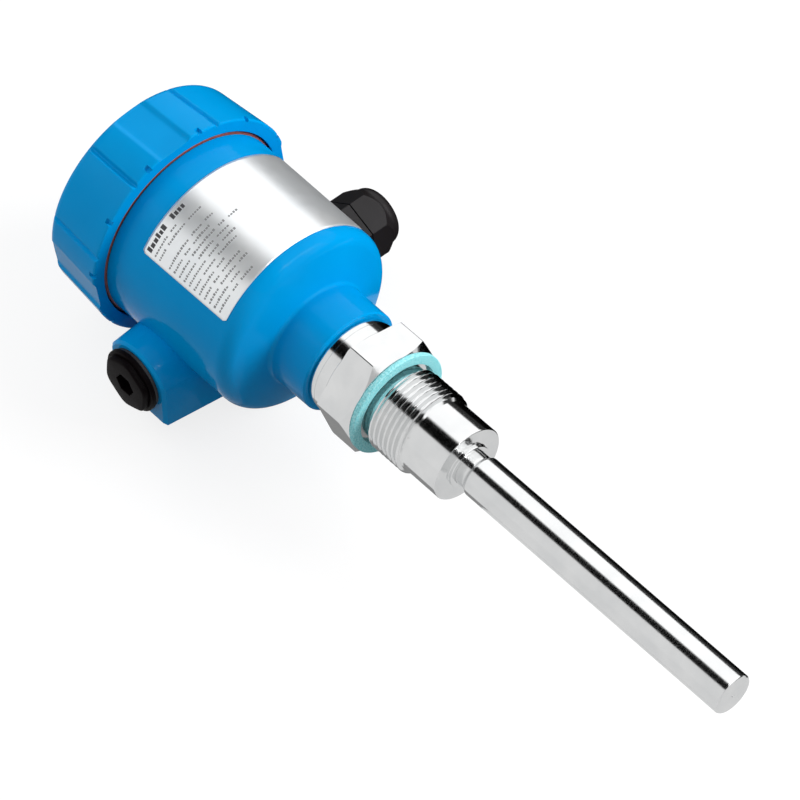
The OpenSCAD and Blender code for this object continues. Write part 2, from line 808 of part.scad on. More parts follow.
// Moulded housing: neck, round shoulder, terminal chamber, threaded rim and two cable entries
module housing_body() {
    chamber_corner = module_gap / 2;
    color(blue)
        difference() {
            union() {
                turned()
                    body_profile();
                cable_boss();
                mirror([0, 1, 0])
                    cable_boss();
            }
            turned()
                polygon([[0, neck_rim + past], [neck_bore_r, neck_rim + past], [neck_bore_r, well_floor],
                         [well_d / 2, well_floor], [well_d / 2, ledge], [chamber_r - chamber_corner, ledge],
                         [chamber_r, ledge - chamber_corner], [chamber_r, rim_end - past], [0, rim_end - past]]);
            for (side = [-1, 1])
                entry_frame(side)
                    cylinder(r = entry_r, h = boss_reach + past);
            difference() {
                bar(2 * body_mouth_d, rim_end - past, mouth);
                bar(2 * rim_r, rim_end - 2 * past, mouth + past);
            }
            module_screw_holes();
        }
}

// Holes for the module screws in the chamber's ledge
module module_screw_holes() {
    for (side = [-1, 1])
        translate([ledge - past, side * screw_y, screw_z])
            rotate([0, 90, 0])
                cylinder(d = screw_d + 2 * fit_gap, h = screw_bite + past);
}

// Red rubber ring that seals the cover
module cover_seal() {
    color([0.51, 0.29, 0.29])
        turned()
            translate([rim_r + cover_seal_cord / 2 + fit_gap, seal_x])
                circle(d = cover_seal_cord);
}

// Silver film on top of the housing
module nameplate() {
    near = mouth + film_gap;
    far = near + film_w;
    color([0.85, 0.87, 0.88])
        rotate([180 - film_angle / 2, 0, 0])
            turned(film_angle)
                polygon([[body_r(near) + fit_gap, near], [body_r(near) + fit_gap + film_t, near],
                         [body_r(far) + fit_gap + film_t, far], [body_r(far) + fit_gap, far]]);
}

// Moulded case of the electronics, open towards the probe, with two screw columns
module electronics_module() {
    color([0.20, 0.21, 0.23])
        difference() {
            union() {
                difference() {
                    bar(2 * module_r, module_face, ledge);
                    bar(2 * (module_r - 2 * module_wall), module_face + module_wall, ledge + past);
                    bar(2 * (module_r - module_wall), board_back, ledge + past);
                }
                for (side = [-1, 1])
                    translate([module_face, side * screw_y, screw_z])
                        rotate([0, 90, 0])
                            cylinder(r = column_r, h = module_h);
            }
            for (side = [-1, 1])
                translate([module_face - past, side * screw_y, screw_z])
                    rotate([0, 90, 0])
                        cylinder(d = screw_d + 2 * fit_gap, h = module_h + 2 * past);
        }
}

// Circuit board under the module's case
module circuit_board() {
    color([0.05, 0.33, 0.18])
        difference() {
            bar(2 * (module_r - module_wall - fit_gap), board_back, board_front);
            bar(lead_d + 4 * run_gap, board_back - past, board_front + past);
            for (side = [-1, 1])
                translate([board_back - past, side * screw_y, screw_z])
                    rotate([0, 90, 0])
                        cylinder(r = column_r + run_gap, h = board_t + 2 * past);
        }
}

// Block that stands on the board's inner side
module board_block(y, z, l, w, h) {
    translate([board_back - h, y - l / 2, z - w / 2])
        cube([h, l, w]);
}

// Switching relay on the board
module output_relay() {
    color([0.90, 0.90, 0.88])
        board_block(-(part_gap + relay_l) / 2, part_z, relay_l, relay_w, relay_h);
}

// Supply transformer on the board: core and winding
module supply_transformer() {
    middle = (part_gap + core_l) / 2;
    color([0.35, 0.30, 0.24]) {
        board_block(middle, part_z, core_l, core_w, core_h);
        board_block(middle, part_z, winding_l, winding_w, core_h + winding_h);
    }
}

// Two slotted screws that hold the module on the ledge
module module_screws() {
    color(steel)
        for (side = [-1, 1])
            translate([module_face, side * screw_y, screw_z])
                difference() {
                    union() {
                        bar(screw_head_d, -screw_head_h, 0);
                        bar(screw_d, -past, module_h + screw_bite - end_gap);
                    }
                    translate([-screw_head_h - past, -screw_head_d, -slot_w / 2])
                        cube([slot_depth + past, 2 * screw_head_d, slot_w]);
                }
}

// Middle of terminal number i along the block
function terminal_y(i) = (i - (terminal_count - 1) / 2) * terminal_pitch;

// Insulating block with a screw well and a wire hole for each terminal
module terminal_block() {
    color([0.16, 0.42, 0.25])
        difference() {
            face_block(0, block_z, block_l, block_w, block_h);
            for (i = [0 : terminal_count - 1]) {
                translate([module_face - block_h - past, terminal_y(i), block_z])
                    rotate([0, 90, 0])
                        cylinder(d = terminal_screw_d + 2 * fit_gap, h = terminal_screw_depth + past);
                translate([module_face - wire_hole_rise, terminal_y(i), block_z - block_w / 2 - past])
                    cylinder(d = wire_hole_d, h = wire_hole_depth + past);
            }
        }
}

// Slotted clamp screws in the terminal block
module terminal_screws() {
    top = module_face - block_h + terminal_screw_sunk;
    color(brass)
        for (i = [0 : terminal_count - 1])
            translate([top, terminal_y(i), block_z])
                difference() {
                    bar(terminal_screw_d, 0, terminal_screw_depth - terminal_screw_sunk);
                    translate([-past, -slot_w / 2, -terminal_screw_d])
                        cube([slot_depth + past, slot_w, 2 * terminal_screw_d]);
                }
}

// Brass block for the ground wire
module ground_terminal() {
    color(brass)
        difference() {
            face_block(0, ground_z, ground_side, ground_side, ground_h);
            translate([module_face - ground_h - past, 0, ground_z])
                rotate([0, 90, 0])
                    cylinder(d = ground_screw_d + 2 * fit_gap, h = ground_screw_depth + past);
        }
}

// Clamp screw of the ground terminal
module ground_screw() {
    color(steel)
        translate([module_face - ground_h, 0, ground_z])
            difference() {
                union() {
                    bar(ground_head_d, -ground_head_h, 0);
                    bar(ground_screw_d, -past, ground_screw_depth - end_gap);
                }
                translate([-ground_head_h - past, -ground_head_d, -slot_w / 2])
                    cube([past + slot_depth, 2 * ground_head_d, slot_w]);
            }
}

// Signal lamp with a round dome
module signal_lamp() {
    color([0.75, 0.10, 0.08]) {
        face_peg(0, 0, lamp_d, lamp_h);
        translate([module_face - lamp_h, 0, 0])
            sphere(d = lamp_d);
    }
}

// Frame of the mode switch, with the slot that its slider runs in
module mode_switch_frame() {
    color([0.85, 0.85, 0.83])
        difference() {
            face_block(control_y, control_z, switch_l, switch_w, switch_h);
            translate([module_face - switch_h - past, control_y - (slider_w + switch_travel) / 2 - run_gap,
                       control_z - slider_w / 2 - run_gap])
                cube([past + switch_h - switch_floor, slider_w + switch_travel + 2 * run_gap,
                      slider_w + 2 * run_gap]);
        }
}

// Slider of the mode switch, at the inner end of its travel
module mode_switch() {
    floor_gap = switch_floor + run_gap;
    color(black)
        translate([module_face - floor_gap - slider_h, control_y - (slider_w + switch_travel) / 2,
                   control_z - slider_w / 2])
            cube([slider_h, slider_w, slider_w]);
}

// Slotted knob that sets the switching point
module switch_point_knob() {
    color([0.92, 0.92, 0.90])
        difference() {
            face_peg(-control_y, control_z, knob_d, knob_h, run_gap);
            translate([module_face - run_gap - knob_h - past, -control_y - knob_d,
                       control_z - knob_slot_w / 2])
                cube([knob_slot_depth + past, 2 * knob_d, knob_slot_w]);
        }
}

// Threaded gland body with a hexagon, seated on its ring
module gland_body() {
    bore_r = insert_d / 2 + fit_gap;
    cable_r = cable_d / 2 + run_gap;
    color(black)
        entry_frame(1)
            difference() {
                union() {
                    translate([0, 0, gland_seat - entry_thread - ring_t])
                        cylinder(d = entry_d, h = entry_thread + ring_t + past);
                    translate([0, 0, gland_seat])
                        rotate([0, 0, -gland_turn])
                            cylinder(d = gland_af / cos(30), h = gland_hex_h, $fn = 6);
                    translate([0, 0, gland_thread_start - past])
                        cylinder(d = gland_thread_d, h = gland_thread_length + past);
                }
                cylinder(r = cable_r, h = gland_thread_start + gland_thread_length + past);
                translate([0, 0, insert_start])
                    cylinder(r = bore_r, h = gland_thread_length + past);
            }
}

// Sealing ring on one boss face
module entry_seal(side) {
    color([0.10, 0.10, 0.10])
        entry_frame(side)
            translate([0, 0, boss_reach])
                difference() {
                    cylinder(d = ring_d, h = ring_t);
                    translate([0, 0, -past])
                        cylinder(d = entry_d + 2 * fit_gap, h = ring_t + 2 * past);
                }
}

module gland_body_seal() {
    entry_seal(1);
}

// Rubber sleeve that grips the cable
module gland_insert() {
    color([0.12, 0.12, 0.12])
        entry_frame(1)
            translate([0, 0, insert_start])
                difference() {
                    cylinder(d = insert_d, h = insert_length);
                    translate([0, 0, -past])
                        cylinder(d = cable_d, h = insert_length + 2 * past);
                }
}

// Domed cap nut of the gland: hexagon, rounded end and a mouth for the cable
module gland_nut() {
    corner_r = gland_af / 2 / cos(30) + bevel_over;
    nut_end = nut_start + gland_nut_h;
    dome_d = gland_af - 2 * dome_inset;
    shoulder = nut_end - dome_r;
    color(black)
        entry_frame(1)
            difference() {
                intersection() {
                    translate([0, 0, nut_start])
                        rotate([0, 0, -gland_turn])
                            cylinder(d = gland_af / cos(30), h = gland_nut_h, $fn = 6);
                    rotate_extrude() {
                        polygon([[0, nut_start], [corner_r, nut_start], [corner_r, nut_start + gland_nut_flat],
                                 [dome_d / 2, shoulder], [dome_d / 2 - dome_r, shoulder],
                                 [dome_d / 2 - dome_r, nut_end], [0, nut_end]]);
                        translate([dome_d / 2 - dome_r, shoulder])
                            circle(r = dome_r);
                    }
                }
                translate([0, 0, nut_start - past])
                    cylinder(r = nut_bore_r, h = insert_end + run_gap - nut_start + past);
                cylinder(d = gland_mouth_d, h = nut_end + past);
            }
}

// Screwed plug in the unused entry: flange, low hexagon head and a socket for a key
module blind_plug() {
    head_top = gland_seat + plug_flange_h + plug_head_h;
    color(black)
        entry_frame(-1)
            difference() {
                union() {
                    translate([0, 0, gland_seat - entry_thread - ring_t])
                        cylinder(d = entry_d, h = entry_thread + ring_t + past);
                    translate([0, 0, gland_seat])
                        cylinder(d = plug_d, h = plug_flange_h);
                    translate([0, 0, gland_seat + plug_flange_h])
                        rotate([0, 0, plug_turn])
                            cylinder(d = plug_af / cos(30), h = plug_head_h, $fn = 6);
                }
                translate([0, 0, head_top - socket_depth])
                    cylinder(d = socket_af / cos(30), h = socket_depth + past, $fn = 6);
            }
}

module blind_plug_seal() {
    entry_seal(-1);
}

// Screw cover: tapered wall, round top edge, grip recesses between grooves, and small notches at the mouth
module housing_cover() {
    inner_top = cover_top + cover_top_wall;
    thread_start = mouth - cover_mouth_depth;
    wall_lean = atan((cover_d - cover_top_d) / 2 / cover_h);
    color(blue)
        difference() {
            turned()
                difference() {
                    polygon([[0, mouth], [cover_d / 2 - cover_lip, mouth], [cover_d / 2, mouth - cover_lip],
                             [cover_top_d / 2, cover_top + cover_round], [cover_top_d / 2, cover_top],
                             [0, cover_top]]);
                    difference() {
                        square_to([cover_top_d / 2 - cover_round, cover_top - past],
                                  [cover_top_d / 2 + past, cover_top + cover_round]);
                        translate([cover_top_d / 2 - cover_round, cover_top + cover_round])
                            circle(r = cover_round);
                    }
                    square_to([0, mouth + past], [cover_mouth_r, thread_start]);
                    square_to([0, mouth], [cover_thread_r, rim_end - end_gap]);
                    square_to([0, mouth], [chamber_r, inner_top]);
                }
            for (k = [0 : recess_count - 1]) {
                turn = recess_turn + k * 360 / recess_count;
                grip_cut(turn, wall_lean, recess_w, recess_depth, recess_flare);
                for (side = [-1, 1])
                    grip_cut(turn + side * groove_offset, wall_lean, groove_w, groove_depth, groove_flare);
            }
            for (k = [0 : notch_count - 1])
                rotate([notch_turn + k * 360 / notch_count, 0, 0])
                    translate([mouth - notch_l, (cover_d - cover_lip) / 2 - notch_depth, -notch_w / 2])
                        cube([notch_l + past, 2 * notch_depth + cover_lip, notch_w]);
        }
}

// Cut along the cover's wall from its mouth to its top: flat floor, and walls that lean outwards by flare
module grip_cut(turn, lean, w, depth, flare) {
    high = 4 * depth;
    rotate([turn, 0, 0])
        translate([mouth, cover_d / 2 - depth, 0])
            rotate([0, 0, lean])
                translate([past, 0, 0])
                    rotate([0, -90, 0])
                        linear_extrude(height = 2 * cover_h)
                            polygon([[-w / 2, 0], [w / 2, 0], [w / 2 + high * flare, high],
                                     [-w / 2 - high * flare, high]]);
}

process_connection();
vibrating_rod();
inner_resonator();
drive_membrane();
piezo_discs();
electrode_plates();
insulating_rings();
tension_bolt();
clamp_nut();
potting_plug();
sensor_lead();
process_seal();
shank_seal();
retaining_ring();
housing_body();
cover_seal();
nameplate();
electronics_module();
circuit_board();
output_relay();
supply_transformer();
module_screws();
terminal_block();
terminal_screws();
ground_terminal();
ground_screw();
signal_lamp();
mode_switch_frame();
mode_switch();
switch_point_knob();
gland_body();
gland_body_seal();
gland_insert();
gland_nut();
blind_plug();
blind_plug_seal();
housing_cover();
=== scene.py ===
"""Looks of a vibrating rod level switch, piece by piece in the order it is put together.
Lengths are in millimetres until a mesh is made. X runs towards the rod tip, Y to the cable gland, Z up."""

import math

import bmesh
import bpy
import numpy as np
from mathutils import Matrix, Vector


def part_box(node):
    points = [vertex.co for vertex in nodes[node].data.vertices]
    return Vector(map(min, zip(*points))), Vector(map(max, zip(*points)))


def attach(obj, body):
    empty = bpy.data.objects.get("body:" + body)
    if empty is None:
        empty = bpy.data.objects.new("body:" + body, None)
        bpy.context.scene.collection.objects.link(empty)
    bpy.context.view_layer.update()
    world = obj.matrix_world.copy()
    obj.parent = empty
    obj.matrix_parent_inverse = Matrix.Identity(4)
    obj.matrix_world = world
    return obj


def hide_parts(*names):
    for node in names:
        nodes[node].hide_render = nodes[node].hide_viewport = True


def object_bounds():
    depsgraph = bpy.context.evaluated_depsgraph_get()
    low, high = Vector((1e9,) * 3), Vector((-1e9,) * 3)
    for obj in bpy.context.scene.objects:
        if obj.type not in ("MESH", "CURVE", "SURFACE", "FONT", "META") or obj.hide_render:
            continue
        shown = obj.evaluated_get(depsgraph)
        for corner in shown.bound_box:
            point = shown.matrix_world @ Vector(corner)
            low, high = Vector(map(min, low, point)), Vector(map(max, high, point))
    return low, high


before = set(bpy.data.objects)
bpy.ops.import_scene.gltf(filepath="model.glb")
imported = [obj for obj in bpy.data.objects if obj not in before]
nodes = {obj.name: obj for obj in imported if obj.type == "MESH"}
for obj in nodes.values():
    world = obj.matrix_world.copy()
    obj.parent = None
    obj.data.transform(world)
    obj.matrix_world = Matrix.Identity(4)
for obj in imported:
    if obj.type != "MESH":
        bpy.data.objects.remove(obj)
cad_low, cad_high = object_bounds()

# Process connection: one turned and milled stainless bar with collar, pipe thread, hexagon, shank and spigot.
# The thread has eleven rounded turns to the inch. Collar and shank keep the fine lines of the lathe tool.
MM = 0.001
PITCH = 2.309
CREST_R = 16.6245
ROOT_R = CREST_R - 1.479
THREAD_LAND = 0.14
THREAD_STRAIGHT = 0.55
THREAD_RUNOUT = 0.9
THREAD_BEVEL = 1.1
COLLAR_R = 15.05
RELIEF_R = 15.0
RELIEF_END = 2.0
THREAD_END = 19.3
COLLAR_END = 35.5
WELD_R = 8.8
WELD_END = 37.0
HEX_FLATS = 41.0
HEX_CORNER_R = 23.56
HEX_CORNER_TURN = 107.9
HEX_FRONT = -2.0
HEX_BACK = -16.3
HEX_BEVEL = math.tan(math.radians(37))
HEX_BACK_R = 22.9
HEX_BACK_BEVEL = 0.5
WASHER_R = 20.1
WASHER_RISE = 0.066
WASHER_SEAT = 0.3
SHANK_R = 18.9
SHANK_BACK = -25.1
LINE_STARTS = (-22.4, -17.8)
LINE_W = 0.6
LINE_DEPTH = 0.12
SPIGOT_R = 15.0
SPIGOT_BACK = -46.7
DRIVE_BORE_R = 10.0
DRIVE_BORE_END = 31.5
ROD_BORE_R = 7.05
EDGE = 0.05
CORNER_BAND = 0.0075


def rounded(corners, steps=5):
    """Profile with rounded corners: each corner (x, r, size) becomes a parabola that leaves both its edges
    at that size from the corner, so point s is (1-s)^2 start + 2 s (1-s) corner + s^2 end."""
    c = np.asarray(corners, float)
    p, size = c[:, :2], c[:, 2]
    before = np.roll(p, 1, 0) - p
    after = np.roll(p, -1, 0) - p
    before[0] = after[0]
    after[-1] = before[-1]
    before /= np.linalg.norm(before, axis=1)[:, None]
    after /= np.linalg.norm(after, axis=1)[:, None]
    s = np.linspace(0, 1, steps)[None, :, None]
    start = (p + before * size[:, None])[:, None]
    end = (p + after * size[:, None])[:, None]
    curve = (1 - s) ** 2 * start + 2 * s * (1 - s) * p[:, None] + s ** 2 * end
    out = curve.reshape(-1, 2)
    keep = np.r_[True, np.linalg.norm(np.diff(out, axis=0), axis=1) > 1e-6]
    return out[keep]


def turned(profile, angles):
    """Surface of revolution: profile point (x, r) goes to (x, r cos a, r sin a) at each angle a."""
    x, r = np.asarray(profile, float).T
    return round_grid(np.repeat(x[:, None], len(angles), 1), np.repeat(r[:, None], len(angles), 1), angles)


def round_grid(x, r, angles):
    """Grid in space from stations x and radii r, both rows by columns, with one angle for each column."""
    return np.stack([x, r * np.cos(angles), r * np.sin(angles)], -1)


def hexagon_r(angles, flats, corner_turn):
    """Radius of a hexagon: half its width over the flats, divided by the cosine of the angle off a flat's middle."""
    off = (angles - np.radians(corner_turn)) % (np.pi / 3) - np.pi / 6
    return flats / 2 / np.cos(off)


def grid_quads(rows, columns, close_rows, close_columns):
    """Corner numbers of the quads between neighbouring rows and columns, going on over a closed seam."""
    i = np.arange(rows if close_rows else rows - 1)[:, None]
    j = np.arange(columns if close_columns else columns - 1)[None, :]
    n, m = (i + 1) % rows, (j + 1) % columns
    return np.stack([i * columns + j, i * columns + m, n * columns + m, n * columns + j], -1).reshape(-1, 4)


def grid_mesh(name, grid, close_rows=False, close_columns=True, sharp=32):
    """Mesh from a grid in millimetres: seams and poles are merged, faces turned outwards,
    and edges that bend more than the sharp angle stay crisp."""
    rows, columns = grid.shape[:2]
    mesh = bpy.data.meshes.new(name)
    mesh.from_pydata(grid.reshape(-1, 3) * MM, [], grid_quads(rows, columns, close_rows, close_columns))
    return finish_mesh(mesh, sharp)


def finish_mesh(mesh, sharp, join_flats=False):
    """Merges doubles, drops faces without area, joins the triangles of a flat where asked,
    points the normals outwards and shades by angle."""
    bm = bmesh.new()
    bm.from_mesh(mesh)
    bmesh.ops.remove_doubles(bm, verts=bm.verts, dist=2e-6)
    bmesh.ops.dissolve_degenerate(bm, edges=bm.edges, dist=1e-7)
    if join_flats:
        bmesh.ops.dissolve_limit(bm, angle_limit=math.radians(0.5), verts=bm.verts, edges=bm.edges)
    bmesh.ops.recalc_face_normals(bm, faces=bm.faces)
    bm.to_mesh(mesh)
    bm.free()
    mesh.shade_smooth()
    mesh.set_sharp_from_angle(angle=math.radians(sharp))
    return mesh


def piece(name, mesh, material, body, slot, *stands_for):
    """Object at the origin with one material, riding on a body and standing for CAD nodes."""
    obj = bpy.data.objects.new(name, mesh)
    bpy.context.scene.collection.objects.link(obj)
    mesh.materials.clear()
    mesh.materials.append(material)
    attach(obj, body)
    if stands_for:
        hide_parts(*stands_for)
    return obj


class Finish:
    """A node material with one Principled shader, read on Object coordinates in metres.
    Most of a cloudy value lies between CLOUD_LOW and CLOUD_HIGH."""

    CLOUD_LOW = 0.3
    CLOUD_HIGH = 0.7

    def __init__(self, name, **constants):
        self.material = bpy.data.materials.new(name)
        self.material.use_nodes = True
        self.tree = self.material.node_tree
        self.shader = self.tree.nodes["Principled BSDF"]
        for socket, value in constants.items():
            self.shader.inputs[socket.replace("_", " ")].default_value = value
        self.place = self.tree.nodes.new("ShaderNodeTexCoord").outputs["Object"]

    def set(self, socket, output):
        """Links an output to one of the shader's sockets."""
        self.tree.links.new(output, self.shader.inputs[socket])
        return self

    def noise(self, scale, detail=2.0, rough=0.5, stretch=(1, 1, 1)):
        """Cloudy value from 0 to 1 with that many features to the metre, times the stretch of each axis."""
        axes = self.tree.nodes.new("ShaderNodeMapping")
        axes.inputs["Scale"].default_value = stretch
        self.tree.links.new(self.place, axes.inputs["Vector"])
        node = self.tree.nodes.new("ShaderNodeTexNoise")
        node.inputs["Scale"].default_value = scale
        node.inputs["Detail"].default_value = detail
        node.inputs["Roughness"].default_value = rough
        self.tree.links.new(axes.outputs["Vector"], node.inputs["Vector"])
        return node.outputs["Fac"]

    def colours(self, value, *stops):
        """Base colour from a ramp on a value, each stop a position and a linear colour."""
        node = self.tree.nodes.new("ShaderNodeValToRGB")
        ramp = node.color_ramp
        while len(ramp.elements) < len(stops):
            ramp.elements.new(0.5)
        for element, (position, colour) in zip(ramp.elements, stops):
            element.position = position
            element.color = (*colour, 1.0)
        self.tree.links.new(value, node.inputs["Fac"])
        return self.set("Base Color", node.outputs["Color"])

    def tone(self, scale, dark, light, detail=2.0):
        """Base colour that drifts between a dark and a light tone, with that many clouds to the metre."""
        return self.colours(self.noise(scale, detail), (self.CLOUD_LOW, dark), (self.CLOUD_HIGH, light))

    def gloss(self, value, low, high):
        """Roughness that follows a cloudy value from low to high."""
        node = self.tree.nodes.new("ShaderNodeMapRange")
        for socket, number in (("From Min", self.CLOUD_LOW), ("From Max", self.CLOUD_HIGH),
                               ("To Min", low), ("To Max", high)):
            node.inputs[socket].default_value = number
        self.tree.links.new(value, node.inputs["Value"])
        return self.set("Roughness", node.outputs["Result"])

    def relief(self, height, depth):
        """Bump of that depth in metres from a height value."""
        node = self.tree.nodes.new("ShaderNodeBump")
        node.inputs["Strength"].default_value = 1.0
        node.inputs["Distance"].default_value = depth
        self.tree.links.new(height, node.inputs["Height"])
        return self.set("Normal", node.outputs["Normal"])


def turned_steel(name, rough, line_depth):
    """Stainless steel off the lathe: fine rings across X, a slight cloud in tone and gloss."""
    steel = Finish(name, Metallic=1.0)
    steel.tone(90.0, (0.70, 0.71, 0.715), (0.78, 0.785, 0.785), 3.0)
    rings = steel.noise(1.0, 3.0, 0.6, (5200, 60, 60))
    steel.gloss(rings, rough * 0.75, rough * 1.3)
    return steel.relief(rings, line_depth).material


def soft_step(t):
    """Even rise from 0 to 1 with level ends: 3 t^2 - 2 t^3 for t held between 0 and 1."""
    t = np.clip(t, 0, 1)
    return t ** 2 * (3 - 2 * t)


def thread_form(x, angles):
    """Screw surface: the radius falls from crest to root by a groove with straight flanks and rounded ends,
    whose phase is x / pitch - a / turn; it runs out in the relief and under a bevel at the front end."""
    phase = x / PITCH - angles / (2 * np.pi)
    wave = np.abs(2 * (phase - np.floor(phase)) - 1)
    flank = np.clip((wave - THREAD_LAND) / (1 - 2 * THREAD_LAND), 0, 1)
    form = THREAD_STRAIGHT * flank + (1 - THREAD_STRAIGHT) * soft_step(flank)
    r = ROOT_R + (CREST_R - ROOT_R) * form
    r = RELIEF_R + (r - RELIEF_R) * soft_step((x - RELIEF_END) / THREAD_RUNOUT)
    return np.minimum(r, COLLAR_R + (THREAD_END - x) * THREAD_BEVEL)


corners = np.radians(HEX_CORNER_TURN + 60 * np.arange(6))
around = np.r_[np.linspace(0, 2 * np.pi, 200, endpoint=False), corners, corners + CORNER_BAND, corners - CORNER_BAND]
around = np.unique(np.round(around % (2 * np.pi), 6))
flat = np.ones_like(around)
hex_r = np.minimum(hexagon_r(around, HEX_FLATS, HEX_CORNER_TURN), HEX_CORNER_R)
bevel_x = HEX_FRONT - (hex_r - WASHER_R) * HEX_BEVEL
back_bevel_x = HEX_BACK + np.clip(hex_r - HEX_BACK_R, 0, None) * HEX_BACK_BEVEL
hex_rows_x = np.stack([HEX_BACK * flat, back_bevel_x, back_bevel_x + EDGE, 0.5 * (bevel_x + back_bevel_x),
                       bevel_x - EDGE, bevel_x, (HEX_FRONT - EDGE) * flat, HEX_FRONT * flat, HEX_FRONT * flat])
hex_rows_r = np.stack([np.minimum(hex_r, HEX_BACK_R), hex_r, hex_r, hex_r, hex_r, hex_r,
                       (WASHER_R + WASHER_RISE) * flat, WASHER_R * flat, (RELIEF_R + WASHER_SEAT) * flat])
scribed = [(start + at, SHANK_R - depth, 0) for start in LINE_STARTS
           for at, depth in ((0, 0), (EDGE, LINE_DEPTH), (LINE_W - EDGE, LINE_DEPTH), (LINE_W, 0))]
shank = rounded([(SPIGOT_BACK, DRIVE_BORE_R, 0), (SPIGOT_BACK, SPIGOT_R, 0.5), (SHANK_BACK, SPIGOT_R, 0),
                 (SHANK_BACK, SHANK_R, 0.5), *scribed, (HEX_BACK, SHANK_R, 0)])
relief = np.array([(HEX_FRONT, RELIEF_R), (RELIEF_END - 2 * EDGE, RELIEF_R)])
thread_x = np.linspace(RELIEF_END, THREAD_END, 190)[:, None] * flat
front = rounded([(THREAD_END, COLLAR_R, 0), (COLLAR_END, COLLAR_R, 0.5), (COLLAR_END, WELD_R, 0.25),
                 (WELD_END, WELD_R, 0.4), (WELD_END, ROD_BORE_R, 0), (DRIVE_BORE_END, ROD_BORE_R, 0),
                 (DRIVE_BORE_END, DRIVE_BORE_R, 0)])
steel_body = np.concatenate([turned(shank, around), round_grid(hex_rows_x, hex_rows_r, around),
                             turned(relief, around), round_grid(thread_x, thread_form(thread_x, around), around),
                             turned(front, around)])
bright_steel = turned_steel("turned_stainless", 0.12, 0.000003)
piece("process_connection_steel", grid_mesh("process_connection_steel", steel_body, close_rows=True, sharp=28),
      bright_steel, "probe", "stainless_steel", "process_connection")

# Vibrating rod: a drawn and polished stainless tube, closed at the tip and necked where it is welded in.
# Its end is faced on the lathe, which leaves a small dimple in the middle.
ROD_R = 8.0
ROD_TIP = 164.5
ROD_WALL = 2.0
TIP_WALL = 4.0
DIMPLE_DEPTH = 0.35
DIMPLE_FLOOR_R = 0.45
DIMPLE_R = 0.75
WAIST_R = 7.0
WAIST_END = 42.4
WAIST_TAPER = 1.0
rod_profile = rounded([(ROD_TIP - DIMPLE_DEPTH, 0, 0), (ROD_TIP - DIMPLE_DEPTH + EDGE, DIMPLE_FLOOR_R, 0.1),
                       (ROD_TIP, DIMPLE_R, 0.1), (ROD_TIP, ROD_R, 1.2), (WAIST_END, ROD_R, 0.6),
                       (WAIST_END - WAIST_TAPER, WAIST_R, 0.5), (DRIVE_BORE_END, WAIST_R, 0),
                       (DRIVE_BORE_END, WAIST_R - ROD_WALL, 0), (WAIST_END, WAIST_R - ROD_WALL, 0),
                       (WAIST_END, ROD_R - ROD_WALL, 0), (ROD_TIP - TIP_WALL, ROD_R - ROD_WALL, 0),
                       (ROD_TIP - TIP_WALL, 0, 0)], 8)
even = np.linspace(0, 2 * np.pi, 160, endpoint=False)
polished_steel = turned_steel("polished_stainless", 0.15, 0.000002)
piece("rod_tube", grid_mesh("rod_tube", turned(rod_profile, even)), polished_steel, "probe", "stainless_steel",
      "vibrating_rod")

# Drive inside the probe: ceramic discs with contact plates between them, clamped on a membrane by a bolt.
# A second bar swings inside the tube, and resin closes the bore round the lead.


def coat(material, *names):
    """Gives a material to CAD nodes that are shown as they are."""
    for name in names:
        nodes[name].data.materials.clear()
        nodes[name].data.materials.append(material)


plain_steel = turned_steel("ground_stainless", 0.26, 0.000004)
coat(plain_steel, "inner_resonator", "drive_membrane", "tension_bolt", "clamp_nut", "retaining_ring")
ceramic = Finish("fired_ceramic", Roughness=0.32)
ceramic.tone(900.0, (0.68, 0.63, 0.50), (0.76, 0.72, 0.61), 3.0).relief(ceramic.noise(5000.0), 0.000006)
coat(ceramic.material, "piezo_discs", "insulating_rings")
brass = Finish("plain_brass", Metallic=1.0)
brass.tone(260.0, (0.58, 0.36, 0.09), (0.68, 0.45, 0.13), 3.0).gloss(brass.noise(700.0), 0.22, 0.36)
coat(brass.material, "electrode_plates")
resin = Finish("potting_resin", Roughness=0.28)
resin.tone(300.0, (0.016, 0.014, 0.012), (0.028, 0.025, 0.022)).relief(resin.noise(120.0), 0.00006)
coat(resin.material, "potting_plug")
lead = Finish("red_lead_skin", Roughness=0.45).tone(500.0, (0.23, 0.012, 0.009), (0.30, 0.018, 0.012))
coat(lead.material, "sensor_lead")

# Process seal: a flat ring cut from pressed fibre sheet, pale teal with lighter and darker fibres.
# It lies loose on the thread relief, against the hexagon.
SEAL_R = 20.8
SEAL_HOLE_R = 16.92
SEAL_MIDDLE = -1.0
seal_profile = rounded([(SEAL_MIDDLE, SEAL_HOLE_R, 0), (0, SEAL_HOLE_R, 0.2), (0, SEAL_R, 0.35),
                        (HEX_FRONT, SEAL_R, 0.35), (HEX_FRONT, SEAL_HOLE_R, 0.2),
                        (SEAL_MIDDLE - EDGE, SEAL_HOLE_R, 0)])
fibre = Finish("seal_fibre", Roughness=0.62)
fibre.colours(fibre.noise(1500.0, 4.0, 0.7), (0.32, (0.14, 0.45, 0.48)), (0.5, (0.24, 0.70, 0.75)),
              (0.68, (0.50, 0.80, 0.81)))
fibre.relief(fibre.noise(3000.0, 3.0), 0.00004)
piece("process_seal_ring", grid_mesh("process_seal_ring", turned(seal_profile, even), close_rows=True),
      fibre.material, "probe", "seal_fibre", "process_seal")

# Housing: injection moulded, glass filled blue plastic with a fine satin skin and small rounded edges.
# Neck, shoulder, chamber and both cable bosses are one moulding. A rubber ring seals it on the shank.


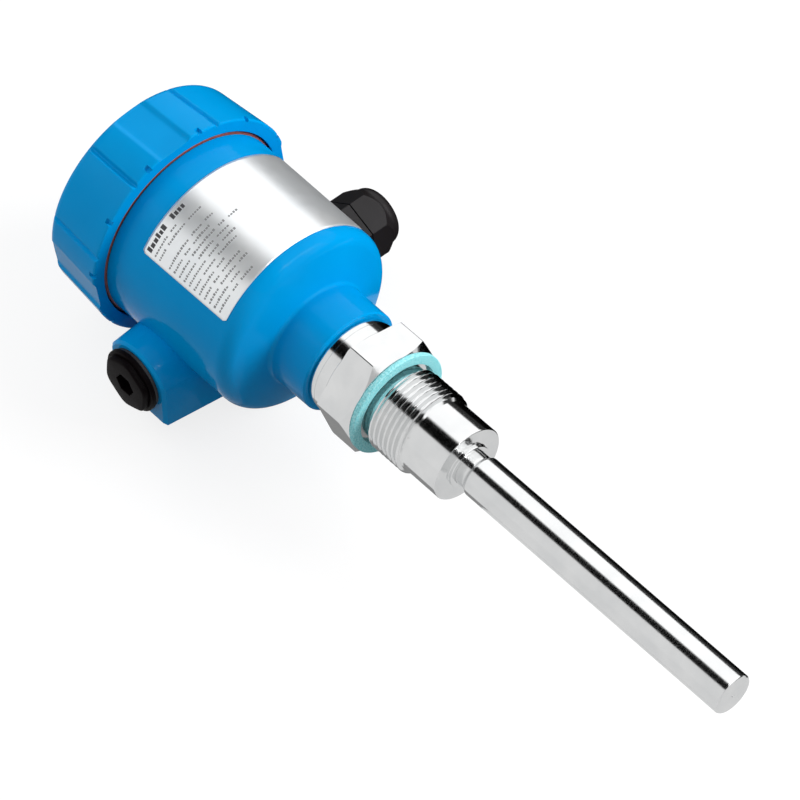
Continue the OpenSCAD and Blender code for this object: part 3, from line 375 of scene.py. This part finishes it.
def moulded(name, dark, light, rough, peel, shine=0.25):
    """Moulded plastic: a faint cloud in tone, fine peel on the skin, gloss that varies a little."""
    plastic = Finish(name, Specular_IOR_Level=shine)
    plastic.tone(45.0, dark, light, 3.0)
    skin = plastic.noise(2600.0, 2.0, 0.55)
    plastic.gloss(skin, rough * 0.85, rough * 1.15)
    return plastic.relief(skin, peel).material


def cad_copy(name, node, join_flats=False):
    """Copy of a CAD node's mesh with its triangles joined and shaded smooth, ready to stand for it."""
    mesh = nodes[node].data.copy()
    mesh.name = name
    if "custom_normal" in mesh.attributes:
        mesh.attributes.remove(mesh.attributes["custom_normal"])
    return finish_mesh(mesh, 32, join_flats)


blue = moulded("blue_housing_plastic", (0.0, 0.270, 0.625), (0.0, 0.292, 0.665), 0.13, 0.000002, 0.05)
piece("housing_moulding", cad_copy("housing_moulding", "housing_body"), blue, "housing", "blue_plastic",
      "housing_body")
rubber = Finish("black_rubber", Roughness=0.55)
rubber.tone(700.0, (0.010, 0.010, 0.010), (0.018, 0.017, 0.017)).relief(rubber.noise(4000.0), 0.00001)
coat(rubber.material, "shank_seal")

# Nameplate: thin silver film with a clear satin face, stuck round the top of the housing.
# It is cut with rounded corners and follows the wall, which widens a little towards the cover.
FILM_NEAR = -97.6
FILM_FAR = -53.7
FILM_HALF_TURN = 55.6
FILM_CORNER = 1.2
FILM_T = 0.25
FILM_LIFT = 0.06
WALL_R0 = 38.2
WALL_X0 = -53.146
WALL_SLOPE = 0.8 / 57.35


def wall_r(x):
    """Radius of the housing's outer wall, which widens evenly from the shoulder to the cover."""
    return WALL_R0 + (WALL_X0 - x) * WALL_SLOPE


def on_wall(x, angle, lift):
    """Point on the housing wall at station x and angle in degrees from +Y up, lifted off it."""
    return round_grid(x, wall_r(x) + lift, np.radians(angle))


across = np.linspace(-1, 1, 97)[:, None]
along = np.linspace(-1, 1, 41)[None, :]
from_end = (1 - np.abs(across)) * np.radians(FILM_HALF_TURN) * wall_r(FILM_NEAR)
in_corner = np.clip(FILM_CORNER - from_end, 0, FILM_CORNER)
half_w = (FILM_FAR - FILM_NEAR) / 2 - FILM_CORNER + np.sqrt(FILM_CORNER ** 2 - in_corner ** 2)
film_x = (FILM_FAR + FILM_NEAR) / 2 + along * half_w
film_angle = 90 + across * FILM_HALF_TURN * np.ones_like(along)
film_grid = on_wall(film_x, film_angle, FILM_LIFT + FILM_T)
film = Finish("silver_film", Metallic=0.7)
film.tone(70.0, (0.85, 0.88, 0.90), (0.92, 0.94, 0.95)).gloss(film.noise(300.0), 0.28, 0.33)
plate = piece("nameplate_film", grid_mesh("nameplate_film", film_grid, close_columns=False), film.material,
              "housing", "silver_film", "nameplate")
thick = plate.modifiers.new("film_thickness", "SOLIDIFY")
thick.thickness = FILM_T * MM
thick.offset = -1

# Print on the film: rows of plain grey dashes in dull ink, starting at the film's left end.
# One bold row comes first, then two fine rows, a blank and a block of fine rows.
INK_T = 0.015
PRINT_R = 38.6
PRINT_MARGIN = 1.6
HEADING_X = -95.0
HEADING_GROUPS = (6, 4)
FINE_ROWS = ((-91.8, (8, 3)), (-89.4, (5, 9, 6)))
BLOCK_X = -84.2
BLOCK_STEP = 2.65
BLOCK_GROUPS = ((12, 5, 4), (6, 3, 8), (7, 11, 3, 4), (8, 8, 5), (11, 5, 6), (5, 6, 9), (10, 4), (5, 3, 9),
                (6, 8, 4), (9, 5), (7, 3, 6))
HEADING_SIZES = (2.4, 1.5, 0.45)
FINE_SIZES = (0.95, 0.8, 0.35)
draw = np.random.default_rng(7)


def dash_row(x, groups, tall, stroke, gap):
    """Corners of one row's dashes: widths vary about the stroke, a gap follows each dash and two strokes more
    each group, and a dash's left edge is the sum of all widths and blanks before it."""
    wide, high = [], []
    for count in groups:
        wide.append(stroke * draw.uniform(0.65, 1.15, count))
        high.append([tall * draw.choice((0.72, 0.72, 1.0)) for _ in range(count)])
    blank = np.concatenate([np.r_[np.full(count - 1, gap), gap + 2 * stroke] for count in groups])
    wide, high = np.concatenate(wide), np.concatenate(high)
    left = PRINT_MARGIN + np.cumsum(wide + blank) - (wide + blank)
    low = np.full_like(left, x + tall / 2)
    x_corners = np.stack([low, low, low - high, low - high], -1)
    turn_corners = np.stack([left, left + wide, left + wide, left], -1)
    return np.stack([x_corners, turn_corners], -1).reshape(-1, 2)


def print_rows(name, rows, dark, light):
    """One layer of ink on the film, made of the rows' dashes."""
    x, from_left = np.concatenate(rows).T
    angle = 90 + FILM_HALF_TURN - np.degrees(from_left / PRINT_R)
    points = on_wall(x, angle, FILM_LIFT + FILM_T + INK_T)
    mesh = bpy.data.meshes.new(name)
    mesh.from_pydata(points * MM, [], np.arange(len(points)).reshape(-1, 4)[:, ::-1])
    ink = Finish(name + "_ink", Roughness=0.5).tone(2500.0, dark, light)
    piece(name, mesh, ink.material, "housing", "silver_film")


print_rows("nameplate_heading", [dash_row(HEADING_X, HEADING_GROUPS, *HEADING_SIZES)],
           (0.03, 0.03, 0.035), (0.05, 0.05, 0.055))
block_rows = [(BLOCK_X + BLOCK_STEP * row, groups) for row, groups in enumerate(BLOCK_GROUPS)]
print_rows("nameplate_dashes", [dash_row(x, groups, *FINE_SIZES) for x, groups in (*FINE_ROWS, *block_rows)],
           (0.17, 0.175, 0.18), (0.25, 0.255, 0.26))

# Electronics: a dark moulded case screwed on the chamber's ledge, with its board, relay and transformer inside.
# The green terminal block, brass ground terminal, lamp and two controls stand on its face.
grey = moulded("dark_grey_case", (0.030, 0.032, 0.038), (0.040, 0.043, 0.050), 0.42, 0.00001)
coat(grey, "electronics_module")
board = Finish("lacquered_board", Roughness=0.25)
board.colours(board.noise(260.0, 4.0), (0.42, (0.004, 0.075, 0.024)), (0.55, (0.008, 0.115, 0.038)))
coat(board.material, "circuit_board")
white = moulded("off_white_plastic", (0.74, 0.74, 0.70), (0.80, 0.80, 0.77), 0.38, 0.000006)
coat(white, "output_relay", "mode_switch_frame", "switch_point_knob")
core = moulded("varnished_core", (0.085, 0.060, 0.038), (0.115, 0.080, 0.050), 0.45, 0.00003)
coat(core, "supply_transformer")
green = moulded("green_terminal_plastic", (0.018, 0.130, 0.045), (0.024, 0.155, 0.055), 0.40, 0.000008)
coat(green, "terminal_block")
lens = Finish("red_lens", Roughness=0.12, Coat_Weight=0.5)
coat(lens.tone(200.0, (0.45, 0.008, 0.006), (0.56, 0.012, 0.008)).material, "signal_lamp")
black = moulded("black_polyamide", (0.010, 0.0085, 0.009), (0.014, 0.012, 0.013), 0.38, 0.00001, 0.22)
coat(black, "mode_switch")
coat(plain_steel, "module_screws", "ground_screw")
coat(brass.material, "terminal_screws", "ground_terminal")

# Cable gland: black polyamide body and domed cap nut, rubber sleeve for the cable, a rubber ring in each entry.
# The nut is left hand tight on the body, with no cable in it.


def soften(obj, width):
    """Small rounded edges, width in millimetres, where faces meet at more than thirty degrees."""
    rounding = obj.modifiers.new("rounded_edges", "BEVEL")
    rounding.width = width * MM
    rounding.segments = 2
    rounding.limit_method = "ANGLE"
    rounding.angle_limit = math.radians(30)
    rounding.harden_normals = True


for name, node, body, slot, finish, edge in (
        ("gland_base", "gland_body", "housing", "black_plastic", black, 0.3),
        ("gland_base_ring", "gland_body_seal", "housing", "black_rubber", rubber.material, 0.2),
        ("gland_sleeve", "gland_insert", "housing", "black_rubber", rubber.material, 0.25),
        ("gland_cap_nut", "gland_nut", "gland_nut", "black_plastic", black, 0.5),
        ("entry_plug_ring", "blind_plug_seal", "housing", "black_rubber", rubber.material, 0.2)):
    soften(piece(name, cad_copy(name, node, True), finish, body, slot, node), edge)

# Blind plug: black polyamide screw plug in the second entry, with a flange and a low hexagon head.
# The head's corners are well rounded, and a hexagon socket in its face takes the key.
PLUG_X = -84.996
PLUG_Z = -23.0
PLUG_TOP = -53.7
PLUG_FLANGE = -51.3
PLUG_SEAT = -49.5
PLUG_END = -37.0
PLUG_FLANGE_R = 12.6
PLUG_THREAD_R = 10.0
HEAD_FLATS = 21.2
HEAD_TURN = 23.0
HEAD_CORNER_R = 11.3
HEAD_BLEND = 0.3
SOCKET_FLATS = 8.0
SOCKET_FLOOR = -48.7


def lower(a, b, blend):
    """Smaller of two radii with the edge between them rounded: -k log(exp(-a/k) + exp(-b/k))."""
    return -blend * np.logaddexp(-a / blend, -b / blend)


plug_turn = np.linspace(0, 2 * np.pi, 144, endpoint=False)
round_r = np.ones_like(plug_turn)
socket_r = hexagon_r(plug_turn, SOCKET_FLATS, 0)
head_r = lower(hexagon_r(plug_turn, HEAD_FLATS, HEAD_TURN), HEAD_CORNER_R, HEAD_BLEND)
plug_rows = [(SOCKET_FLOOR, 0 * round_r), (SOCKET_FLOOR, socket_r),
             (PLUG_TOP + 0.2, socket_r), (PLUG_TOP, socket_r + 0.2),
             (PLUG_TOP, head_r - 1.0), (PLUG_TOP + 0.1, head_r - 0.55), (PLUG_TOP + 0.4, head_r - 0.15),
             (PLUG_TOP + 0.9, head_r), (PLUG_FLANGE, head_r),
             (PLUG_FLANGE, (PLUG_FLANGE_R - 0.4) * round_r), (PLUG_FLANGE + 0.12, (PLUG_FLANGE_R - 0.12) * round_r),
             (PLUG_FLANGE + 0.4, PLUG_FLANGE_R * round_r), (PLUG_SEAT - 0.1, PLUG_FLANGE_R * round_r),
             (PLUG_SEAT, (PLUG_FLANGE_R - 0.1) * round_r), (PLUG_SEAT, PLUG_THREAD_R * round_r),
             (PLUG_END - 0.5, PLUG_THREAD_R * round_r), (PLUG_END, (PLUG_THREAD_R - 0.5) * round_r),
             (PLUG_END, 0 * round_r)]
plug_y = np.array([y for y, r in plug_rows])[:, None] * round_r
plug_r = np.stack([r for y, r in plug_rows])
plug_grid = np.stack([PLUG_X + plug_r * np.cos(plug_turn), plug_y, PLUG_Z + plug_r * np.sin(plug_turn)], -1)
# The plug's polyamide is set much darker than the gland's: partly its own black, partly painted shade for the shadow
# it lies in.
plug_black_and_painted_shade = moulded("plug_polyamide_with_painted_shade", (0.0026, 0.0014, 0.0018), (0.0040, 0.0024, 0.0030), 0.45, 0.00001, 0.03)
piece("entry_plug", grid_mesh("entry_plug", plug_grid), plug_black_and_painted_shade, "housing", "black_plastic", "blind_plug")

# Cover seal: a red-brown rubber cord ring in the corner between housing rim and cover.
# It shows as a thin line along the cover's mouth.
SEAL_LOW, SEAL_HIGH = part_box("cover_seal")
CORD_R = (SEAL_HIGH.x - SEAL_LOW.x) / 2 / MM
RING_R = SEAL_HIGH.z / MM - CORD_R
RING_X = (SEAL_HIGH.x + SEAL_LOW.x) / 2 / MM
cord_turn = np.linspace(0, 2 * np.pi, 20, endpoint=False)
ring_profile = np.stack([RING_X + CORD_R * np.cos(cord_turn), RING_R + CORD_R * np.sin(cord_turn)], -1)
red = Finish("red_brown_rubber", Roughness=0.5).tone(600.0, (0.20, 0.052, 0.045), (0.27, 0.075, 0.066))
piece("cover_seal_ring", grid_mesh("cover_seal_ring", turned(ring_profile, even), close_rows=True), red.material,
      "housing", "red_rubber", "cover_seal")

# Cover: blue moulded screw cap with a tapered wall and a rounded top edge.
# Four shallow recesses for the fingers lie between pairs of grooves, and small notches break the mouth's edge.
COVER_LOW, COVER_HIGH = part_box("housing_cover")
MOUTH = COVER_HIGH.x / MM
TOP = COVER_LOW.x / MM
COVER_R = 45.3
COVER_TOP_R = 43.1
COVER_ROUND = 3.0
COVER_BLEND = 0.1
LIP = 1.0
MOUTH_R = 40.15
MOUTH_DEPTH = 5.5
THREAD_R = 37.6
THREAD_FLOOR = -125.0
CHAMBER_R = 34.2
TOP_WALL = 3.5
RELIEF_FROM_R = 39.5
RECESS_TURN = 96.5
RECESS_W = 11.4
RECESS_DEPTH = 1.5
RECESS_FLARE = 2.0
RECESS_BLEND = 0.12
GROOVE_OFFSET = 25.0
GROOVE_W = 0.5
GROOVE_DEPTH = 1.2
GROOVE_FLARE = 0.8
GROOVE_BLEND = 0.08
CUT_BLEND = 0.06
CUT_REACH = 40.0
NOTCH_TURN = 22.0
NOTCH_W = 2.0
NOTCH_L = 2.4
NOTCH_DEPTH = 0.8
NOTCH_R = COVER_R - LIP / 2 - NOTCH_DEPTH


def cut_r(off, floor, width, flare, blend):
    """Radius of a flat-floored cut at an angle off its middle: floor / cos off over the floor, and outside it
    the wall that rises one for every flare sideways, with the corner between them rounded."""
    off = np.minimum(np.abs(off), np.radians(CUT_REACH))
    flat_part = floor / np.cos(off)
    wall_part = (floor - width / 2 / flare) / np.clip(np.cos(off) - np.sin(off) / flare, 0.05, None)
    return -lower(-flat_part, -wall_part, blend)


def nearest(turns, centres):
    """Signed angle in radians from each turn to the nearest of the centres, both in degrees."""
    off = (turns[None, :] - centres[:, None] + 180) % 360 - 180
    return np.radians(off[np.abs(off).argmin(0), np.arange(len(turns))])


recesses = (RECESS_TURN + 90 * np.arange(4)) % 360
grooves = (recesses[:, None] + np.array([-GROOVE_OFFSET, GROOVE_OFFSET])).ravel() % 360
notches = (NOTCH_TURN + 30 * np.arange(12)) % 360
fine = np.linspace(-1, 1, 13)
sides = np.array([-1, 1])[:, None]
# Columns stand closer across each groove, each recess edge and each notch edge, all in degrees.
groove_columns = grooves[:, None] + 2.2 * fine
recess_columns = recesses[:, None, None] + 9.6 * sides + 2.6 * fine
notch_columns = notches[:, None, None] + 1.27 * sides + 0.3 * fine[::3]
columns = np.r_[np.arange(0, 360, 1.5), groove_columns.ravel(), recess_columns.ravel(), notch_columns.ravel()]
columns = np.unique(np.round(columns % 360, 3))
wall_line = rounded([(MOUTH - MOUTH_DEPTH, MOUTH_R, 0), (MOUTH, MOUTH_R, 0.3), (MOUTH, COVER_R, LIP),
                     (TOP, COVER_TOP_R, COVER_ROUND), (TOP, 0, 0)], 14)
run = np.r_[0, np.cumsum(np.linalg.norm(np.diff(wall_line, axis=0), axis=1))]
widest = run[wall_line[:, 1].argmax()]
# Rows stand closer along the wall, round the lip and at the notches' ends.
wall_rows = widest + np.linspace(0, 27, 46)
lip_rows = widest - np.linspace(0, 3, 12)
notch_rows = widest + NOTCH_L - LIP / 2 + 0.12 * fine
rows_at = np.unique(np.round(np.r_[run, wall_rows, lip_rows, notch_rows], 3))
line_x = np.interp(rows_at, run, wall_line[:, 0])[:, None]
line_r = np.interp(rows_at, run, wall_line[:, 1])[:, None]
bare_r = COVER_R - (MOUTH - line_x) * (COVER_R - COVER_TOP_R) / (MOUTH - TOP)
recess_r = cut_r(nearest(columns, recesses), bare_r - RECESS_DEPTH, RECESS_W, RECESS_FLARE, RECESS_BLEND)
groove_r = cut_r(nearest(columns, grooves), bare_r - GROOVE_DEPTH, GROOVE_W, GROOVE_FLARE, GROOVE_BLEND)
relief_r = lower(recess_r, groove_r, CUT_BLEND)
in_notch = np.abs(nearest(columns, notches)) * COVER_R < NOTCH_W / 2
near_mouth = (MOUTH - line_x < NOTCH_L) & (line_r > MOUTH_R + LIP)
relief_r = np.where(in_notch & near_mouth, np.minimum(relief_r, NOTCH_R), relief_r)
cover_r = np.where(line_r > RELIEF_FROM_R, lower(line_r + 0 * relief_r, relief_r, COVER_BLEND), line_r)
cover_grid = round_grid(line_x + 0 * cover_r, cover_r, np.radians(columns))
inner_line = np.array([(TOP + TOP_WALL, 0), (TOP + TOP_WALL, CHAMBER_R), (THREAD_FLOOR, CHAMBER_R),
                       (THREAD_FLOOR, THREAD_R), (MOUTH - MOUTH_DEPTH, THREAD_R)])
cover_all = np.concatenate([turned(inner_line, np.radians(columns)), cover_grid])
piece("cover_cap", grid_mesh("cover_cap", cover_all, sharp=40), blue, "cover", "blue_plastic", "housing_cover")

# Camera: a long lens at the photograph's viewing angle, from above and in front of the blind plug.
# Lens, place and direction were fitted to the object's outline there.
LENS_MM = 189.79
CAMERA_PLACE = (0.678775, -0.609830, 1.138698)
CAMERA_BACK = (0.46543, -0.41886, 0.77971)
camera_data = bpy.data.cameras.new("camera")
camera_data.lens = LENS_MM
camera_data.sensor_width = 36.0
camera_data.clip_end = 20.0
camera = bpy.data.objects.new("camera", camera_data)
bpy.context.scene.collection.objects.link(camera)
camera.location = CAMERA_PLACE
camera.rotation_euler = Vector(CAMERA_BACK).to_track_quat("Z", "Y").to_euler()
bpy.context.scene.camera = camera

# Studio: pale floor, a large soft key light on the gland side, a weaker fill on the plug side.
# Cards that only reflections see give the steel its white, grey and black bands.
FLOOR_Z = cad_low.z - 0.0006
FLOOR_HALF = 6.0
FLOOR_SHADE = 0.22
FLOOR_SEEN = 0.80
FLOOR_MIRRORED = 0.50
CARD_Z = FLOOR_Z + 0.001
CARD_BACK = -4.0
CARD_FRONT = 3.0
AIR_LEVEL = 0.57


def stage_sheet(name, points, shade=0.0, glow=0.0):
    """Flat four-cornered stage piece with a plain grey finish that may glow."""
    mesh = bpy.data.meshes.new(name)
    mesh.from_pydata(points, [], [(0, 1, 2, 3)])
    finish = Finish(name, Roughness=0.9, Specular_IOR_Level=0.0, Base_Color=(shade, shade, shade, 1),
                    Emission_Color=(1, 1, 1, 1), Emission_Strength=glow)
    mesh.materials.append(finish.material)
    obj = bpy.data.objects.new(name, mesh)
    bpy.context.scene.collection.objects.link(obj)
    return obj


def card(name, points, glow):
    """Black or glowing card that only reflections see."""
    sheet = stage_sheet(name, points, glow=glow)
    sheet.visible_camera = sheet.visible_diffuse = sheet.visible_shadow = sheet.visible_transmission = False


def long_card(name, low_turn, high_turn, reach, glow):
    """Card along X between two angles round the probe axis, at that reach from it."""
    a = np.radians([low_turn, high_turn])
    y, z = reach * np.cos(a), reach * np.sin(a)
    card(name, [(CARD_BACK, y[0], z[0]), (CARD_FRONT, y[0], z[0]), (CARD_FRONT, y[1], z[1]),
                (CARD_BACK, y[1], z[1])], glow)


def level(x_low, x_high, y_low, y_high, z):
    """Corners of a level rectangle."""
    return [(x_low, y_low, z), (x_high, y_low, z), (x_high, y_high, z), (x_low, y_high, z)]


def soft_light(name, place, size, power):
    """Square area light of that size in metres, aimed at the origin, which reflections don't see."""
    data = bpy.data.lights.new(name, "AREA")
    data.shape = "SQUARE"
    data.size = size
    data.energy = power
    lamp = bpy.data.objects.new(name, data)
    bpy.context.scene.collection.objects.link(lamp)
    lamp.location = place
    lamp.rotation_euler = Vector(place).to_track_quat("Z", "Y").to_euler()
    lamp.visible_glossy = False


floor = stage_sheet("floor", level(-FLOOR_HALF, FLOOR_HALF, -FLOOR_HALF, FLOOR_HALF, FLOOR_Z), FLOOR_SHADE)
floor_tree = floor.data.materials[0].node_tree
path = floor_tree.nodes.new("ShaderNodeLightPath")
mirrored = floor_tree.nodes.new("ShaderNodeMath")
mirrored.operation = "MULTIPLY"
mirrored.inputs[1].default_value = FLOOR_MIRRORED
pale = floor_tree.nodes.new("ShaderNodeMath")
pale.operation = "MULTIPLY_ADD"
pale.inputs[1].default_value = FLOOR_SEEN
floor_tree.links.new(path.outputs["Is Glossy Ray"], mirrored.inputs[0])
floor_tree.links.new(path.outputs["Is Camera Ray"], pale.inputs[0])
floor_tree.links.new(mirrored.outputs[0], pale.inputs[2])
floor_tree.links.new(pale.outputs[0], floor_tree.nodes["Principled BSDF"].inputs["Emission Strength"])

long_card("white_card", 20, 90, 1.0, 1.35)
long_card("edge_card", -4, 19, 1.2, 0.03)
long_card("black_gap", 93, 124, 1.1, 0.0)
long_card("grey_card", 125, 182, 1.3, 0.85)
card("strip_card", [(0.40, 0.76, 0.74), (0.47, 0.80, 0.69), (0.68, -0.02, 1.02), (0.60, -0.04, 1.06)], 28.0)
card("dark_floor_card", level(-1.4, 0.2, 0.06, 1.3, CARD_Z), 0.0)
card("grey_floor_card", level(-1.6, 0.6, -1.6, -0.03, CARD_Z), 0.82)
# Painted shadow: a dim card right under the object, which reflections see in place of the floor's shadow there.
card("painted_shadow_card", level(-0.2, 0.03, -0.03, 0.033, CARD_Z), 0.28)

soft_light("key_light", (0.95, 0.98, 0.88), 0.8, 28.0)
soft_light("fill_light", (-1.0, -0.6, 0.9), 0.9, 6.0)
world = bpy.data.worlds.new("studio_air")
bpy.context.scene.world = world
world.use_nodes = True
world.node_tree.nodes["Background"].inputs["Color"].default_value = (1, 1, 1, 1)
world.node_tree.nodes["Background"].inputs["Strength"].default_value = AIR_LEVEL
bpy.context.scene.view_settings.view_transform = "Standard"
